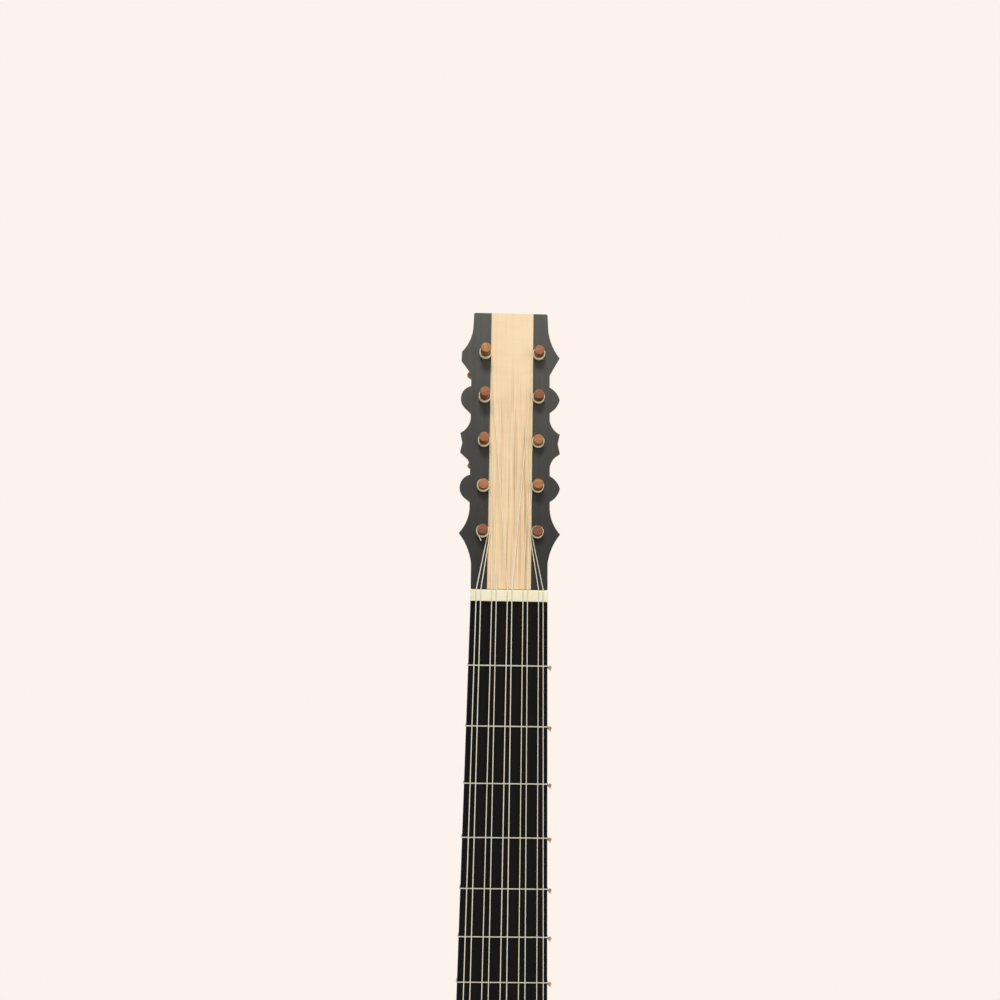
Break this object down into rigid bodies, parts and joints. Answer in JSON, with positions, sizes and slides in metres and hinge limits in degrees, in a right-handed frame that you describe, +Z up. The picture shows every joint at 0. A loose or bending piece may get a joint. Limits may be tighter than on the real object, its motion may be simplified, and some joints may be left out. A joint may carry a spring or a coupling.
{
  "type": "baroque guitar",
  "caption": "Baroque guitar with double courses of gut strings, scalloped head, rear friction pegs, tied gut frets and a figure-eight body with a sunken rose.",
  "frame": {"origin": "on the neck's centre line in the plane of the fingerboard's surface, at the edge of the nut where the strings start to sound, which is where a wall hanger's two prongs hold the neck below the head's flare", "axes": "+Z up the neck towards the head, -Y out of the front, +X towards the treble side"},
  "size_m": [0.276, 0.1005, 0.9561],
  "materials": {
    "ebonised_wood": "satin black-brown stained hardwood",
    "ebony": "polished near-black ebony",
    "pale_maple": "satin pale maple",
    "bone": "polished cream bone",
    "peg_wood": "satin reddish brown hardwood",
    "gut": "twisted gut, smooth and slightly clear",
    "fret_gut": "worn gut",
    "spruce": "varnished straight-grained spruce",
    "parchment": "cut parchment",
    "iron": "dark forged iron"
  },
  "bodies": {
    "guitar": {"peghead": "ebonised_wood", "head_facing_bass": "ebonised_wood", "head_facing_treble": "ebonised_wood", "neck": "ebonised_wood", "rib_bass": "ebonised_wood", "rib_treble": "ebonised_wood", "back": "ebonised_wood", "fingerboard": "ebony", "bridge": "ebony", "moustache_bass": "ebony", "moustache_treble": "ebony", "binding": "ebony", "rose_ring": "ebony", "end_button": "ebony", "body_fret_11": "ebony", "body_fret_12": "ebony", "head_facing_centre": "pale_maple", "nut": "bone", "string_01": "gut", "string_02": "gut", "string_03": "gut", "string_04": "gut", "string_05": "gut", "string_06": "gut", "string_07": "gut", "string_08": "gut", "string_09": "gut", "string_10": "gut", "tied_fret_1": "fret_gut", "tied_fret_2": "fret_gut", "tied_fret_3": "fret_gut", "tied_fret_4": "fret_gut", "tied_fret_5": "fret_gut", "tied_fret_6": "fret_gut", "tied_fret_7": "fret_gut", "tied_fret_8": "fret_gut", "tied_fret_9": "fret_gut", "soundboard": "spruce", "neck_block": "spruce", "tail_block": "spruce", "lining_front_bass": "spruce", "lining_front_treble": "spruce", "lining_back_bass": "spruce", "lining_back_treble": "spruce", "bar_upper": "spruce", "bar_lower": "spruce", "back_bar_upper": "spruce", "back_bar_lower": "spruce", "rose": "parchment", "neck_nail": "iron"},
    "peg_bass_1_body": {"peg_bass_1": "peg_wood"},
    "peg_bass_2_body": {"peg_bass_2": "peg_wood"},
    "peg_bass_3_body": {"peg_bass_3": "peg_wood"},
    "peg_bass_4_body": {"peg_bass_4": "peg_wood"},
    "peg_bass_5_body": {"peg_bass_5": "peg_wood"},
    "peg_treble_1_body": {"peg_treble_1": "peg_wood"},
    "peg_treble_2_body": {"peg_treble_2": "peg_wood"},
    "peg_treble_3_body": {"peg_treble_3": "peg_wood"},
    "peg_treble_4_body": {"peg_treble_4": "peg_wood"},
    "peg_treble_5_body": {"peg_treble_5": "peg_wood"}
  },
  "joints": [
    {"name": "peg_bass_1_turn", "type": "hinge", "parent": "guitar", "child": "peg_bass_1_body", "pos_m": [-0.01582, 0.04281, 0.15232], "axis": [0, 0.9613, -0.2756], "continuous": true},
    {"name": "peg_bass_2_turn", "type": "hinge", "parent": "guitar", "child": "peg_bass_2_body", "pos_m": [-0.01601, 0.03485, 0.12454], "axis": [0, 0.9613, -0.2756], "continuous": true},
    {"name": "peg_bass_3_turn", "type": "hinge", "parent": "guitar", "child": "peg_bass_3_body", "pos_m": [-0.0162, 0.02688, 0.09676], "axis": [0, 0.9613, -0.2756], "continuous": true},
    {"name": "peg_bass_4_turn", "type": "hinge", "parent": "guitar", "child": "peg_bass_4_body", "pos_m": [-0.0164, 0.01892, 0.06898], "axis": [0, 0.9613, -0.2756], "continuous": true},
    {"name": "peg_bass_5_turn", "type": "hinge", "parent": "guitar", "child": "peg_bass_5_body", "pos_m": [-0.01659, 0.01095, 0.0412], "axis": [0, 0.9613, -0.2756], "continuous": true},
    {"name": "peg_treble_1_turn", "type": "hinge", "parent": "guitar", "child": "peg_treble_1_body", "pos_m": [0.01758, 0.04281, 0.15232], "axis": [0, 0.9613, -0.2756], "continuous": true},
    {"name": "peg_treble_2_turn", "type": "hinge", "parent": "guitar", "child": "peg_treble_2_body", "pos_m": [0.01739, 0.03485, 0.12454], "axis": [0, 0.9613, -0.2756], "continuous": true},
    {"name": "peg_treble_3_turn", "type": "hinge", "parent": "guitar", "child": "peg_treble_3_body", "pos_m": [0.0172, 0.02688, 0.09676], "axis": [0, 0.9613, -0.2756], "continuous": true},
    {"name": "peg_treble_4_turn", "type": "hinge", "parent": "guitar", "child": "peg_treble_4_body", "pos_m": [0.017, 0.01892, 0.06898], "axis": [0, 0.9613, -0.2756], "continuous": true},
    {"name": "peg_treble_5_turn", "type": "hinge", "parent": "guitar", "child": "peg_treble_5_body", "pos_m": [0.01681, 0.01095, 0.0412], "axis": [0, 0.9613, -0.2756], "continuous": true}
  ]
}
